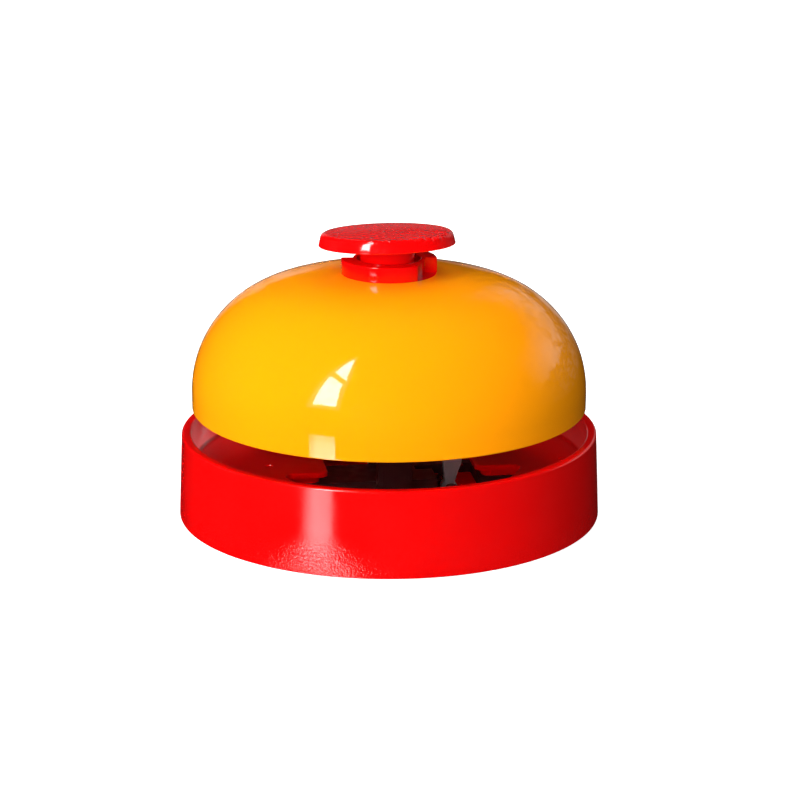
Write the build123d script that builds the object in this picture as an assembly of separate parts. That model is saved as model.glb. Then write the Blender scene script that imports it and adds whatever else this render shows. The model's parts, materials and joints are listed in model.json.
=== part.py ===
"""Push-button service bell: a painted steel gong on a plastic dish, struck from inside by a hinged hammer.

Millimetres, +Z up. The origin is the middle of the table face, under the bell's axis.
The user's side is -Y. The striker stands in a vertical plane turned striker_turn about the axis.
"""
import os
from math import atan2, cos, radians, sin, tan

from build123d import *

# ---- dish (base_cup)
base_radius = 32.52          # at the lower edge, before the heel is rounded: 65 mm across
ground_gap = 0.1             # the wall stops this far above the table, the feet carry the bell
rim_z = 13.25
rim_outer_radius = 31.97
rim_width = 1.45
rim_round = 0.38
heel_round = 0.25
floor_z = 8.0
floor_thickness = 2.0
floor_wall_radius = 30.1     # inner wall where it meets the floor
skirt_inner_radius = 31.0    # inner wall below the floor
opening_radius = 19.1
opening_shift = 1.4          # the opening is set off towards the hammer
tongue_half_width = 5.2
tongue_tip_left = -10.0
tongue_tip_right = 12.8
tongue_corner = 1.5
opening_corner = 1.0
lip_thickness = 0.8          # the floor is rebated from below round the opening
lip_width = 1.2

# ---- bottom plate, its screws and feet
cover_z = 0.6
cover_thickness = 1.2
cover_radius = 30.8
cover_screw_circle = 25.5
cover_boss_radius = 2.5
cover_chamfer = 0.3
screw_radius = 1.1
screw_play = 0.02
screw_passage = 0.2          # extra radius of a screw's plain hole
screw_head_radius = 2.0
screw_head_height = 0.85
screw_head_round = 0.3
recess_half_length = 1.1     # cross recess in a screw's head
recess_half_width = 0.25
recess_depth = 0.45
cover_screw_depth = 1.5      # the hole in the boss ends this far below the floor's face
screw_tip_gap = 0.7          # from a cover screw's tip to the end of its hole
cover_recess = 0.6
cover_recess_play = 0.3
foot_circle = 22.5
foot_radius = 4.0
foot_play = 0.1
foot_round = 0.25
foot_recess = 0.3
foot_height = cover_z + foot_recess

# ---- striker frame
striker_turn = 8.0
beam_z = 4.5
beam_thickness = floor_z - floor_thickness - beam_z
beam_left = -17.5
beam_right = 19.3
beam_half_width = 4.5
beam_corner = 2.0
frame_screw_left = -14.2
frame_screw_right = 16.4
frame_screw_head = 1.2
frame_screw_depth = 0.4      # the hole in the tongue ends this far below the floor's face
frame_screw_tip_gap = 0.1
notch_left = 6.9
notch_right = 13.3
back_strip_y = 2.9
spring_pocket_start_y = 0.9
spring_pocket_length = 2.6
column_inner_y = 4.4
column_outer_y = 6.4
column_half_x = 2.6
column_foot = 1.0            # the beam widens inwards by this much under a column
deck_z = 17.1
deck_thickness = 2.5
deck_half_x = 5.2
deck_corner = 1.5

# ---- hammer
pivot_x = 9.4
pivot_z = 3.35
pin_radius = 0.6
pin_half_length = 4.6
pin_play = 0.05
eye_radius = 1.25
clevis_inner_y = 2.7
clevis_outer_y = 4.0
clevis_top = 4.0
clevis_round = 1.25
clevis_length = 1.5          # how far the clevis runs back from the notch
clip_radius = 1.2
clip_thickness = 0.4
clip_play = 0.005
arm_thickness = 1.6
head_radius = 2.5
head_x = 22.5
head_z = 24.0
head_neck = 1.2              # from the ball's surface to the end of the flat limb
limb_line_x = 10.6           # the limb points from here at the middle of the ball
limb_line_z = 12.2
limb_root_x = 10.4
limb_root_z = 12.0
limb_half_width = 1.0
limb_root_half_width = 1.5
head_pin_radius = 0.9
head_pin_play = 0.01
head_pin_length = 2.4
head_pin_root = 0.5
head_hole_spare = 0.2
nose_radius = 0.9
nose_x = 2.65
nose_z = 11.9
arm_waist_round = 1.2

torsion_wire = 0.2
torsion_radius = 1.0
torsion_pitch = 0.42
torsion_turns = 2.5
torsion_gap = 0.25           # between the arm and the first turn
torsion_hook = (1.95, 3.4)   # where the long leg hooks the arm, from the pivot
torsion_hook_end_y = -0.4
torsion_short_leg = (-4.1, 1.0)
torsion_run_share = 0.93     # the straight runs are a hair thinner, so that they join the coil cleanly
torsion_run_lead = 0.12

# ---- post and clamp of the dome
post_radius = 3.5
post_bore = 1.05
post_top = 33.0
post_chamfer = 0.3
post_nut_flats = 10.0
post_nut_height = 2.2
nut_chamfer_share = 0.8

# ---- dome
dome_edge_z = 16.97
dome_radius = 30.29
dome_wall_top = 19.61
dome_thickness = 1.0
shoulder_radius = 17.35
crown_radius = 39.86
crown_flat = 6.79
dome_top_z = 37.82
dome_hole = 6.1
dome_edge_round = 0.3

# ---- collar
collar_radius = 7.29
collar_top = 40.19
collar_bore = 4.85
collar_edge_round = 0.15
sleeve_radius = 5.45         # full ring inside the two lugs
neck_radius = 6.0
neck_floor_top = 34.2
neck_floor_thickness = 2.4
socket_radius = 5.2
socket_bottom = 28.5
slot_angle = 54.0
slot_middles = (-27.0, 153.0)
rod_clearance_radius = 1.7
washer_thickness = 0.8
washer_radius = 9.0
washer_play = 0.1
washer_clearance = 0.01
dome_nut_flats = 15.0
dome_nut_height = 2.2

# ---- button, rod, cam and return spring; the button travels 2.4 down
button_radius = 10.46
button_edge_z = 42.19
button_side = 1.92
button_draft = 0.46
button_corner = 0.75
button_edge_round = 0.15
button_crown = 0.35
button_roof = 1.5            # plastic left over the stem's bore
button_rim = 1.4
button_recess = 1.15         # hollow under the head, room for the collar at full press
stem_radius = 4.2
stem_bore = 3.55
stem_bottom = 37.5
boss_radius = 2.0
boss_bore = 1.5
boss_bottom = 39.6
button_pivot_z = 41.5        # the button leans about this height on the rod
button_lean_back = 4.1
button_lean_left = 1.3
button_shift = -0.28
rod_radius = 1.0
rod_bottom = 10.6
rod_top = 42.65
rod_tip_round = 0.7
cam_bottom_radius = 1.31
cam_bottom = 11.9
cam_half_angle = 27.4
cam_top = 16.7
cam_rim = 0.7
cam_pin_z = 15.4
cam_pin_radius = 0.4
cam_pin_play = 0.01
cam_pin_half_length = 2.4
spring_mean_radius = 2.85
spring_wire = 0.22
spring_turns = 7
spring_seat_thickness = 0.3
spring_seat_play = 0.4
spring_top = 42.6

os.makedirs("parts", exist_ok=True)


def rod(radius, bottom, top, x=0.0, y=0.0):
    """A solid cylinder along Z."""
    return Pos(x, y, bottom) * Cylinder(radius, top - bottom, align=(Align.CENTER, Align.CENTER, Align.MIN))


def cross_rod(radius, x, z, start_y, end_y):
    """A solid cylinder along Y."""
    middle = (start_y + end_y) / 2
    return Pos(x, middle, z) * Rot(90, 0, 0) * Cylinder(radius, end_y - start_y)


def block(x0, x1, y0, y1, z0, z1):
    """A box given by its two corners."""
    corner = (Align.MIN, Align.MIN, Align.MIN)
    return Pos(x0, y0, z0) * Box(x1 - x0, y1 - y0, z1 - z0, align=corner)


def around(angle, radius):
    """A point on a circle about the axis; angle 0 is +X, counter-clockwise from above."""
    return radius * cos(radians(angle)), radius * sin(radians(angle))


def hexagon(flats, hole, bottom, top):
    """A hexagon nut with chamfered corners."""
    nut = Pos(0, 0, bottom) * extrude(RegularPolygon(flats / 2, 6, major_radius=False), top - bottom)
    corner_radius = flats / 2 / cos(radians(30))
    cone = rod(corner_radius, bottom, top)
    cone = chamfer(cone.edges().filter_by(GeomType.CIRCLE), (corner_radius - flats / 2) * nut_chamfer_share)
    return (nut & cone) - rod(hole, bottom, top)


def striker_plane(shape):
    """Turn a piece of the striker into its plane."""
    return Rot(0, 0, striker_turn) * shape


def save(name, shape):
    """Write one sub-part."""
    shape.label = name
    export_step(shape, f"parts/{name}.step")


# ---------------------------------------------------------------- dish

def make_base_cup():
    """Draughted wall with a rolled rim and a sunken floor that has a two-tongued opening."""
    rim_inner = rim_outer_radius - rim_width
    outline = Polyline(
        (skirt_inner_radius, ground_gap),
        (base_radius, ground_gap),
        (rim_outer_radius, rim_z),
        (rim_inner, rim_z),
        (floor_wall_radius, floor_z),
        (0, floor_z),
        (0, floor_z - floor_thickness),
        (skirt_inner_radius, floor_z - floor_thickness),
        close=True,
    )
    face = Plane.XZ * make_face(outline)
    cup = revolve(face, Axis.Z)
    rim_edges = [e for e in cup.edges().filter_by(GeomType.CIRCLE) if abs(e.center().Z - rim_z) < 0.01]
    cup = fillet(rim_edges, rim_round)
    heel = [e for e in cup.edges().filter_by(GeomType.CIRCLE)
            if abs(e.center().Z - ground_gap) < 0.01 and e.radius > skirt_inner_radius + 0.5]
    cup = fillet(heel, heel_round)
    for angle in (90, 210, 330):
        x, y = around(angle, cover_screw_circle)
        cup += rod(cover_boss_radius, cover_z + cover_thickness, floor_z - floor_thickness / 2, x, y)
        cup -= rod(screw_radius + screw_play, cover_z + cover_thickness, floor_z - cover_screw_depth, x, y)
    under = floor_z - floor_thickness
    cup -= striker_plane(Pos(0, 0, under - 1) * extrude(opening_face(0), floor_thickness + 2))
    rebate = floor_thickness - lip_thickness
    cup -= striker_plane(Pos(0, 0, under - 1) * extrude(opening_face(lip_width), rebate + 1))
    for x in (frame_screw_left, frame_screw_right):
        cup -= striker_plane(rod(screw_radius + screw_play, beam_z, floor_z - frame_screw_depth, x))
    return cup


def opening_face(offset):
    """Round opening with two tongues reaching in, drawn outwards by offset."""
    reach = opening_radius + 5
    left = tongue_tip_left - offset
    right = tongue_tip_right + offset
    width = 2 * (tongue_half_width - offset)
    opening = Pos(opening_shift, 0) * Circle(opening_radius + offset)
    opening -= Pos((left - reach) / 2, 0) * Rectangle(reach + left, width)
    opening -= Pos((right + reach) / 2, 0) * Rectangle(reach - right, width)
    near_axis = 3 * tongue_half_width
    opening = fillet([v for v in opening.vertices() if abs(v.X) < near_axis], tongue_corner)
    return fillet([v for v in opening.vertices() if abs(v.X) > near_axis], opening_corner)


def make_base_cover():
    """Bottom plate with three counterbored screw holes and three shallow foot pockets."""
    top = cover_z + cover_thickness
    cover = rod(cover_radius, cover_z, top)
    cover = chamfer(cover.edges().group_by(Axis.Z)[0], cover_chamfer)
    for angle in (90, 210, 330):
        x, y = around(angle, cover_screw_circle)
        cover -= rod(screw_radius + screw_passage, cover_z, top, x, y)
        cover -= rod(screw_head_radius + cover_recess_play, cover_z, cover_z + cover_recess, x, y)
    for angle in (30, 150, 270):
        x, y = around(angle, foot_circle)
        cover -= rod(foot_radius + foot_play, cover_z, cover_z + foot_recess, x, y)
    return cover


def make_foot(angle):
    """Round rubber pad with a softened lower edge."""
    x, y = around(angle, foot_circle)
    pad = rod(foot_radius, 0, foot_height, x, y)
    return fillet(pad.edges().group_by(Axis.Z)[0], foot_round)


def pan_screw(head_bottom, head_height, tip, x, y):
    """Pan-head screw pointing up, with a cross recess in its head."""
    head = rod(screw_head_radius, head_bottom, head_bottom + head_height, x, y)
    head = fillet(head.edges().group_by(Axis.Z)[0], screw_head_round)
    screw = head + rod(screw_radius, head_bottom + head_height, tip, x, y)
    long, short = recess_half_length, recess_half_width
    recess_top = head_bottom + recess_depth
    for half_x, half_y in ((long, short), (short, long)):
        screw -= block(x - half_x, x + half_x, y - half_y, y + half_y, head_bottom - 1, recess_top)
    return screw


def make_cover_screws():
    """Three screws from below into the bosses of the dish."""
    seat = cover_z + cover_recess
    screws = []
    for angle in (90, 210, 330):
        x, y = around(angle, cover_screw_circle)
        tip = floor_z - cover_screw_depth - screw_tip_gap
        screws.append(pan_screw(seat - screw_head_height, screw_head_height, tip, x, y))
    return Compound(children=screws)


# ---------------------------------------------------------------- striker frame and post

def make_striker_frame():
    """Beam under the tongues with a clevis for the hammer and a portal over the cam."""
    beam_top = beam_z + beam_thickness
    frame = block(beam_left, beam_right, -beam_half_width, beam_half_width, beam_z, beam_top)
    frame = fillet(frame.edges().filter_by(Axis.Z), beam_corner)
    frame -= block(notch_left, notch_right, -beam_half_width - 1, back_strip_y, beam_z - 1, beam_top + 1)
    clevis_left = notch_left - clevis_length
    for side in (-1, 1):
        inner, outer = sorted((side * clevis_inner_y, side * clevis_outer_y))
        cheek = block(clevis_left, pivot_x, inner, outer, pivot_z - clevis_round, clevis_top)
        cheek += cross_rod(clevis_round, pivot_x, pivot_z, inner, outer)
        frame += cheek
        frame += block(clevis_left, notch_left, inner, outer, clevis_top - 0.5, beam_z + 0.5)
        column = sorted((side * column_inner_y, side * column_outer_y))
        frame += block(-column_half_x, column_half_x, *column, beam_z, deck_z + 0.5)
        foot = sorted((side * (column_inner_y - column_foot), side * column_outer_y))
        frame += block(-column_half_x, column_half_x, *foot, beam_z, beam_top)
    deck_top = deck_z + deck_thickness
    deck = block(-deck_half_x, deck_half_x, -column_outer_y, column_outer_y, deck_z, deck_top)
    frame += fillet(deck.edges().filter_by(Axis.Z), deck_corner)
    frame -= rod(post_radius, deck_z - 1, deck_top + 1)
    frame -= cross_rod(pin_radius, pivot_x, pivot_z, -clevis_outer_y - 1, clevis_outer_y + 1)
    pocket = (notch_left - spring_pocket_length, notch_left + 1, spring_pocket_start_y, clevis_inner_y)
    frame -= block(*pocket, beam_z - 1, beam_top + 1)
    for x in (frame_screw_left, frame_screw_right):
        frame -= rod(screw_radius + screw_passage, beam_z - 1, beam_top + 1, x)
    return striker_plane(frame)


def make_frame_screws():
    """Two screws from below through the beam into the tongues."""
    head_bottom = beam_z - frame_screw_head
    screws = []
    for x in (frame_screw_left, frame_screw_right):
        tip = floor_z - frame_screw_depth - frame_screw_tip_gap
        screws.append(striker_plane(pan_screw(head_bottom, frame_screw_head, tip, x, 0)))
    return Compound(children=screws)


def make_post_tube():
    """Steel tube from the portal's deck to the collar's floor."""
    tube = rod(post_radius, deck_z, post_top)
    tube = chamfer(tube.edges().filter_by(GeomType.CIRCLE), post_chamfer)
    return tube - rod(post_bore, deck_z, post_top)


# ---------------------------------------------------------------- dome and collar

def dome_half(offset, edge_z):
    """Closed half outline of the dome, drawn inwards by offset."""
    top = dome_top_z - offset
    wall = dome_radius - offset
    shoulder_middle = (dome_radius - shoulder_radius, dome_wall_top)
    crown_middle = (crown_flat, dome_top_z - crown_radius)
    lean = atan2(shoulder_middle[0] - crown_middle[0], shoulder_middle[1] - crown_middle[1])
    crown = crown_radius - offset
    shoulder = shoulder_radius - offset

    def on(middle, radius, from_vertical):
        return middle[0] + radius * sin(from_vertical), middle[1] + radius * cos(from_vertical)

    join = on(crown_middle, crown, lean)
    crown_mid_point = on(crown_middle, crown, lean / 2)
    shoulder_mid_point = on(shoulder_middle, shoulder, (lean + radians(90)) / 2)
    return [
        Line((0, edge_z), (0, top)),
        Line((0, top), (crown_flat, top)),
        ThreePointArc((crown_flat, top), crown_mid_point, join),
        ThreePointArc(join, shoulder_mid_point, (wall, dome_wall_top)),
        Line((wall, dome_wall_top), (wall, edge_z)),
        Line((wall, edge_z), (0, edge_z)),
    ]


def dome_solid(offset, edge_z):
    """The dome's shape as a full solid, drawn inwards by offset."""
    return revolve(Plane.XZ * make_face(Wire(dome_half(offset, edge_z))), Axis.Z)


def make_dome():
    """Spun steel gong with a centre hole and a rounded free edge."""
    shell = dome_solid(0, dome_edge_z) - dome_solid(dome_thickness, dome_edge_z - 1)
    shell -= rod(dome_hole, dome_top_z - 2, dome_top_z + 1)
    return fillet(shell.edges().group_by(Axis.Z)[0], dome_edge_round)


def make_top_collar():
    """Threaded neck through the dome, a sleeve with two lugs on top and a socket for the post below."""
    ring = rod(collar_radius, dome_top_z, collar_top)
    ring = fillet(ring.edges().group_by(Axis.Z)[-1], collar_edge_round)
    for middle in slot_middles:
        wedge = Pos(0, 0, dome_top_z) * extrude(sector(collar_radius + 2, middle, slot_angle), 5)
        ring -= wedge
    collar = ring + rod(sleeve_radius, dome_top_z - 1, collar_top)
    collar += rod(neck_radius, neck_floor_top - neck_floor_thickness, dome_top_z)
    collar += rod(socket_radius, socket_bottom, neck_floor_top - 1)
    collar -= rod(collar_bore, neck_floor_top, collar_top + 1)
    collar -= rod(post_radius, socket_bottom - 1, post_top)
    return collar - rod(rod_clearance_radius, socket_bottom, collar_top)


def sector(radius, middle, angle):
    """A pie slice about the axis."""
    start, end = middle - angle / 2, middle + angle / 2
    outline = Wire([
        Line((0, 0), around(start, radius)),
        ThreePointArc(around(start, radius), around(middle, radius), around(end, radius)),
        Line(around(end, radius), (0, 0)),
    ])
    return make_face(outline)


def make_dome_washer():
    """Soft washer under the dome."""
    top = dome_top_z - dome_thickness
    washer = rod(washer_radius, top - washer_thickness, top)
    washer -= rod(neck_radius + washer_play, top - 2, top + 1)
    return washer & dome_solid(dome_thickness + washer_clearance, dome_edge_z)


def make_dome_nut():
    """Thin nut on the collar's neck."""
    top = dome_top_z - dome_thickness - washer_thickness
    return hexagon(dome_nut_flats, neck_radius + screw_play, top - dome_nut_height, top)


# ---------------------------------------------------------------- button group

def lean(shape):
    """The loose lean of the button on its rod."""
    turn = Rot(-button_lean_back, -button_lean_left, 0)
    return Pos(button_shift, 0, button_pivot_z) * turn * Pos(0, 0, -button_pivot_z) * shape


def make_push_button():
    """Mushroom head with a draughted side, a crowned top, a hollow stem and a boss for the rod."""
    top_edge_radius = button_radius - button_draft
    top_edge_z = button_edge_z + button_side
    crown_z = top_edge_z + button_crown
    crown_middle = (top_edge_radius / 2, crown_z - button_crown / 4)
    outline = Wire([
        Line((0, button_edge_z), (button_radius, button_edge_z)),
        Line((button_radius, button_edge_z), (top_edge_radius, top_edge_z)),
        ThreePointArc((top_edge_radius, top_edge_z), crown_middle, (0, crown_z)),
        Line((0, crown_z), (0, button_edge_z)),
    ])
    head = revolve(Plane.XZ * make_face(outline), Axis.Z)
    top_edge = [e for e in head.edges().filter_by(GeomType.CIRCLE) if abs(e.center().Z - top_edge_z) < 0.01]
    head = fillet(top_edge, button_corner)
    head = fillet(head.edges().group_by(Axis.Z)[0], button_edge_round)
    roof = crown_z - button_roof
    hollow_top = button_edge_z + button_recess
    hollow = rod(button_radius - button_rim, button_edge_z - 1, hollow_top)
    button = head - hollow + rod(stem_radius, stem_bottom, hollow_top + 0.3)
    button -= rod(stem_bore, stem_bottom - 1, roof)
    button += rod(boss_radius, boss_bottom, roof + 0.2) - rod(boss_bore, boss_bottom - 1, roof)
    return lean(button)


def make_push_rod():
    """Steel rod with a domed lower tip."""
    shaft = rod(rod_radius, rod_bottom, rod_top)
    shaft = fillet(shaft.edges().group_by(Axis.Z)[0], rod_tip_round)
    return shaft - cross_rod(cam_pin_radius, 0, cam_pin_z, -5, 5)


def make_cone_cam():
    """Cone that widens upwards and wedges the hammer's nose outwards."""
    rim_bottom = cam_top - cam_rim
    cam_top_radius = cam_bottom_radius + (rim_bottom - cam_bottom) * tan(radians(cam_half_angle))
    outline = Polyline(
        (rod_radius, cam_bottom),
        (cam_bottom_radius, cam_bottom),
        (cam_top_radius, rim_bottom),
        (cam_top_radius, cam_top),
        (rod_radius, cam_top),
        close=True,
    )
    cone = revolve(Plane.XZ * make_face(outline), Axis.Z)
    return striker_plane(cone - cross_rod(cam_pin_radius, 0, cam_pin_z, -5, 5))


def make_cam_pin():
    """Cross pin through cone and rod."""
    radius = cam_pin_radius - cam_pin_play
    return striker_plane(cross_rod(radius, 0, cam_pin_z, -cam_pin_half_length, cam_pin_half_length))


def make_spring_washer():
    """Steel seat of the return spring on the collar's floor."""
    top = neck_floor_top + spring_seat_thickness
    disc = rod(collar_bore - spring_seat_play, neck_floor_top, top)
    return disc - rod(rod_clearance_radius, neck_floor_top - 1, top + 1)


def make_return_spring():
    """Compression spring round the rod, inside the button's stem."""
    bottom = neck_floor_top + spring_seat_thickness + spring_wire
    height = spring_top - spring_wire - bottom
    path = Helix(height / spring_turns, height, spring_mean_radius)
    section = Plane(path @ 0, z_dir=path % 0) * Circle(spring_wire)
    return Pos(0, 0, bottom) * sweep(section, path, is_frenet=True)


# ---------------------------------------------------------------- hammer

def limb_direction():
    """Unit vector along the hammer's outer limb."""
    return Vector(head_x - limb_line_x, 0, head_z - limb_line_z).normalized()


def make_hammer_arm():
    """Stamped steel lever: eye, tapered shank, inner nose for the cam and outer limb for the head."""
    half = arm_thickness / 2
    limb = limb_direction()
    side = Vector(limb.Z, 0, -limb.X)
    neck = Vector(head_x, 0, head_z) - limb * (head_radius + head_neck)
    left_far = neck - side * limb_half_width
    right_far = neck + side * limb_half_width
    right_near = Vector(limb_root_x, 0, limb_root_z) + side * limb_root_half_width
    points = [
        (pivot_x - 0.75, pivot_z + 0.9),
        (8.45, 7.4),
        (8.0, 9.6),
        (nose_x, nose_z - nose_radius),
        (nose_x, nose_z + nose_radius),
        (8.6, 13.6),
        (left_far.X, left_far.Z),
        (right_far.X, right_far.Z),
        (right_near.X, right_near.Z),
        (11.3, 9.4),
        (11.3, 7.4),
        (pivot_x + 0.75, pivot_z + 0.9),
    ]
    plate = make_face(Polyline(*points, close=True))
    waist = [v for v in plate.vertices() if v.X > 7.5 and v.Y > 9 and v.Y < 16 and v.X < 12.0]
    plate = fillet(waist, arm_waist_round)
    plate += Pos(pivot_x, pivot_z) * Circle(eye_radius)
    plate += Pos(nose_x, nose_z) * Circle(nose_radius)
    plate -= Pos(pivot_x, pivot_z) * Circle(pin_radius + pin_play)
    arm = Plane.XZ * extrude(plate, half, both=True)
    spigot = Plane(neck - limb * head_pin_root, z_dir=limb) * Cylinder(
        head_pin_radius, head_pin_length + head_radius, align=(Align.CENTER, Align.CENTER, Align.MIN))
    return striker_plane(arm + spigot)


def make_hammer_head():
    """Brass ball with a blind hole, pressed on the arm's spigot."""
    limb = limb_direction()
    ball = Pos(head_x, 0, head_z) * Sphere(head_radius)
    depth = head_pin_length + head_radius + head_hole_spare
    start = Vector(head_x, 0, head_z) - limb * (head_radius + head_neck + head_pin_root)
    hole = Plane(start, z_dir=limb) * Cylinder(
        head_pin_radius + head_pin_play, depth, align=(Align.CENTER, Align.CENTER, Align.MIN))
    return striker_plane(ball - hole)


def make_pivot_pin():
    """Hinge pin held in the clevis."""
    pin = cross_rod(pin_radius, pivot_x, pivot_z, -pin_half_length, pin_half_length)
    return striker_plane(chamfer(pin.edges().filter_by(GeomType.CIRCLE), 0.12))


def make_pivot_clips():
    """A push-on clip at each end of the hinge pin."""
    clips = []
    for side in (-1, 1):
        start, end = sorted((side * clevis_outer_y, side * (clevis_outer_y + clip_thickness)))
        disc = cross_rod(clip_radius, pivot_x, pivot_z, start, end)
        clips.append(striker_plane(disc - cross_rod(pin_radius + clip_play, pivot_x, pivot_z, start, end)))
    return Compound(children=clips)


def wire_run(start, end):
    """A straight length of the hammer spring's wire."""
    start, end = Vector(*start), Vector(*end)
    run = end - start
    length = run.length + 2 * torsion_run_lead
    return Plane(start - run.normalized() * torsion_run_lead, z_dir=run) * Cylinder(
        torsion_wire * torsion_run_share, length, align=(Align.CENTER, Align.CENTER, Align.MIN))


def make_hammer_spring():
    """Torsion spring on the hinge pin: one leg hooks the arm's outer edge, one reaches under the beam."""
    coil = Helix(torsion_pitch, torsion_pitch * torsion_turns, torsion_radius)
    section = Plane(coil @ 0, z_dir=coil % 0) * Circle(torsion_wire)
    start_y = arm_thickness / 2 + torsion_gap + torsion_wire
    end_y = start_y + torsion_pitch * torsion_turns
    spring = Pos(pivot_x, start_y, pivot_z) * Rot(-90, 0, 0) * sweep(section, coil, is_frenet=True)
    hook = (pivot_x + torsion_hook[0], start_y, pivot_z + torsion_hook[1])
    short_end = (pivot_x + torsion_short_leg[0], end_y, pivot_z + torsion_short_leg[1])
    spring += wire_run((pivot_x + torsion_radius, start_y, pivot_z), hook)
    spring += wire_run(hook, (hook[0], torsion_hook_end_y, hook[2]))
    spring += wire_run((pivot_x - torsion_radius, end_y, pivot_z), short_end)
    return striker_plane(spring)


save("base_cup", make_base_cup())
save("base_cover", make_base_cover())
for place, angle in (("right", 30), ("left", 150), ("front", 270)):
    save(f"foot_pad_{place}", make_foot(angle))
save("cover_screws", make_cover_screws())
save("striker_frame", make_striker_frame())
save("frame_screws", make_frame_screws())
save("post_tube", make_post_tube())
save("post_nut", hexagon(post_nut_flats, post_radius + screw_play, deck_z + deck_thickness,
                         deck_z + deck_thickness + post_nut_height))
save("dome", make_dome())
save("top_collar", make_top_collar())
save("dome_washer", make_dome_washer())
save("dome_nut", make_dome_nut())
save("push_button", make_push_button())
save("push_rod", striker_plane(make_push_rod()))
save("cone_cam", make_cone_cam())
save("cam_pin", make_cam_pin())
save("spring_washer", make_spring_washer())
save("return_spring", make_return_spring())
save("hammer_arm", make_hammer_arm())
save("hammer_head", make_hammer_head())
save("pivot_pin", make_pivot_pin())
save("pivot_clips", make_pivot_clips())
save("hammer_spring", make_hammer_spring())
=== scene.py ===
"""Looks of the push-button service bell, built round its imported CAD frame.

Lengths in the outlines are millimetres and become metres when a mesh is made. +Z is up, -Y faces the user.
"""

import json
from math import atan2, cos, degrees, pi, radians, sin, sqrt, tan

import bmesh
import bpy
from mathutils import Matrix, Vector


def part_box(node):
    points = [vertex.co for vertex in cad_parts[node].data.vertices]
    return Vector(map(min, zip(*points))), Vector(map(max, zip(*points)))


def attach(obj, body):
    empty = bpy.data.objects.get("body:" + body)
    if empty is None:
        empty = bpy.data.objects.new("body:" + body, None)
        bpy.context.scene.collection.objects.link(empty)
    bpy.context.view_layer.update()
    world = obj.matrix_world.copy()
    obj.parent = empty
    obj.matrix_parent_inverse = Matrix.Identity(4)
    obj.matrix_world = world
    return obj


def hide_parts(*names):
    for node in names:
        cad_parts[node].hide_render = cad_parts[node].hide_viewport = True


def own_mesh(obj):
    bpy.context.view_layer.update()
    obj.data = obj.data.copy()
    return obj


# brightness of what the gloss mirrors
WINDOW = 24.0
HALO = 1.3           # soft glow round the window
TABLE_GLOW = 17.0    # the window again, as a glossy table shows it
GLOSS_WALL = 1.05    # pale wall behind on the right
GLOSS_BACK = 0.45    # low pale band behind
GLOSS_TABLE = 0.30   # speckled far edge of the table
GLOSS_ROOM = 0.006   # the rest of the room

# brightness of the room as the shading sees it
CEILING = 0.08
BOUNCE = 0.38

PANE_DISTANCE = 1.6  # metres from the dome's highlight
HALO_DISTANCE = 2.2  # behind the panes

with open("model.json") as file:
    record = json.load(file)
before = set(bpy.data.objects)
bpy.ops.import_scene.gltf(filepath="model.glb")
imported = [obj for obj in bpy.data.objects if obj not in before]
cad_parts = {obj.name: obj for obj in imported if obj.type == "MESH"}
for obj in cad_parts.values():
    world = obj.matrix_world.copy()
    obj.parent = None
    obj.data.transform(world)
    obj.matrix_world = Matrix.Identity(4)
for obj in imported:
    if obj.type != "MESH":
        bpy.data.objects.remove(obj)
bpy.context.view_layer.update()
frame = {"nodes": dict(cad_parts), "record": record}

MM = 0.001
ROUND = 256          # steps round the axis of every turned piece
SHARP = 32.0         # edges that turn by more degrees than this stay sharp
WELD = 1e-4          # points closer than this, in millimetres, are one point


def mm(node):
    """Lowest and highest corner of a CAD node, in millimetres."""
    low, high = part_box(node)
    return low / MM, high / MM


dome_low, dome_high = mm("dome")
cup_low, cup_high = mm("base_cup")
collar_low, collar_high = mm("top_collar")
spring_low, spring_high = mm("return_spring")

# dome
dome_radius = dome_high.x
dome_edge_z = dome_low.z
dome_top_z = dome_high.z
dome_thickness = 1.0
dome_wall_height = 2.64
dome_wall_top = dome_edge_z + dome_wall_height
shoulder_radius = 17.35
crown_radius = 39.86
crown_flat = 6.79
dome_hole = 6.1
dome_hole_chamfer = 0.15

# dish
cup_radius = 32.52
rim_z = cup_high.z
rim_outer_radius = 31.97
rim_width = 1.45
rim_round = 0.38
heel_round = 0.25
floor_z = 8.0
floor_thickness = 2.0
floor_wall_radius = 30.1
floor_corner = 0.6
skirt_inner_radius = 31.0
striker_turn = 8.0
opening_radius = 19.1
opening_shift = 1.4
tongue_half_width = 5.2
tongue_tips = (-10.0, 12.8)
tongue_corner = 1.5
opening_corner = 1.0
opening_edge_round = 0.3
ejector_marks = ((-18.5, -3.3), (26.9, 0.9), (-0.5, 26.6), (0.5, -26.6))
ejector_radius = 0.6
ejector_depth = 0.15
ejector_draft = 0.06
lip_thickness = 0.8
lip_width = 1.2

# collar
collar_radius = collar_high.x
collar_top = collar_high.z
collar_bore = 4.85
sleeve_radius = 5.45
neck_radius = 6.0
neck_floor_top = 34.2
neck_floor_thickness = 2.4
socket_radius = 5.2
socket_bottom = collar_low.z
post_radius = 3.5
post_top = 33.0
rod_hole = 1.7
slot_angle = 54.0
slot_middles = (-27.0, 153.0)
collar_bevel = 0.16

# button
button_radius = 10.46
button_edge_z = 42.19
button_side = 1.92
button_draft = 0.46
button_corner = 0.75
button_crown = 0.35
button_roof = 1.5
button_rim = 1.4
button_recess = 1.15
stem_radius = 4.2
stem_bore = 3.55
stem_bottom = 37.5
boss_radius = 2.0
boss_bore = 1.5
boss_bottom = 39.6
button_pivot_z = 41.5
button_lean_back = 4.1
button_lean_left = 1.3
button_shift = -0.28

# return spring
spring_radius = 2.85
spring_wire = 0.22
spring_turns = 7
spring_steps = 40    # per turn
spring_sides = 10


# ---------------------------------------------------------------- mesh helpers

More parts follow.
